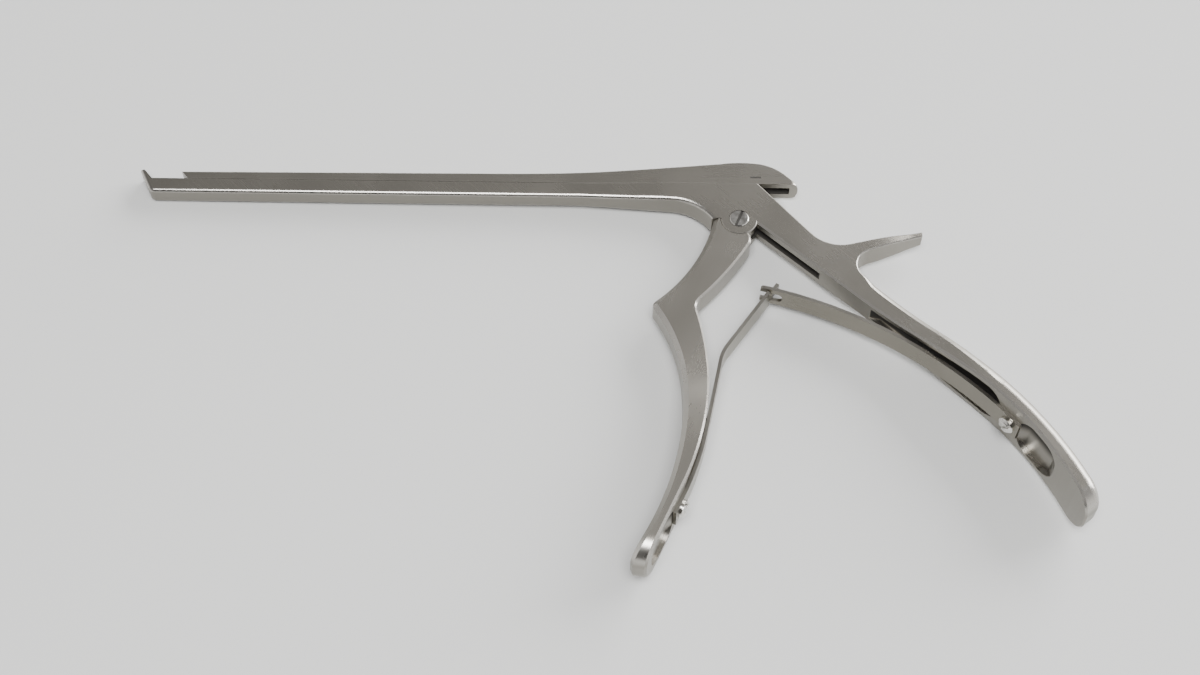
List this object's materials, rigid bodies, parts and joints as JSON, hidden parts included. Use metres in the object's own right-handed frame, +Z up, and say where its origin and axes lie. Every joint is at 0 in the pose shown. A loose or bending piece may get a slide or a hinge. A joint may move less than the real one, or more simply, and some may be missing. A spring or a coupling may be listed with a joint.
{
  "type": "bone rongeur",
  "caption": "Up-cutting bone punch rongeur: slim sliding shaft with an angled foot jaw, body with thumb spur, curved pistol-style handles and hooked leaf return springs.",
  "frame": {"origin": "under the middle of the instrument's bounding box, on the plane of the handles' flat sides, on which it lies", "axes": "+X along the shaft from the jaw to the handles, +Y from the handles to the shaft, +Z up, across the instrument's thickness"},
  "size_m": [0.2444, 0.1172, 0.0162],
  "materials": {
    "satin_steel": "satin ground stainless steel",
    "spring_steel": "polished spring steel, slightly warm",
    "screw_steel": "turned bright steel"
  },
  "bodies": {
    "frame_body": {"frame": "satin_steel", "pivot_screw": "screw_steel", "rear_spring": "spring_steel", "rear_spring_screw": "screw_steel"},
    "lever_body": {"front_lever": "satin_steel", "front_spring": "spring_steel", "front_spring_screw": "screw_steel"},
    "slider_body": {"slider": "satin_steel", "drive_pin": "screw_steel"}
  },
  "joints": [
    {"name": "lever_pivot", "type": "hinge", "parent": "frame_body", "child": "lever_body", "pos_m": [0.03681, 0.04037, 0.0081], "axis": [0, 0, 1], "range_deg": [0, 36.28], "stiffness_Nm_per_rad": 1, "springref_deg": -20.05, "deforming": ["rear_spring", "front_spring"]},
    {"name": "slider_slide", "type": "slide", "parent": "frame_body", "child": "slider_body", "axis": [-1, 0, 0], "range_m": [0, 0.0095]}
  ],
  "couplings": [
    {"joint": "slider_slide", "follows": "lever_pivot", "m_per_rad": 0.015}
  ]
}
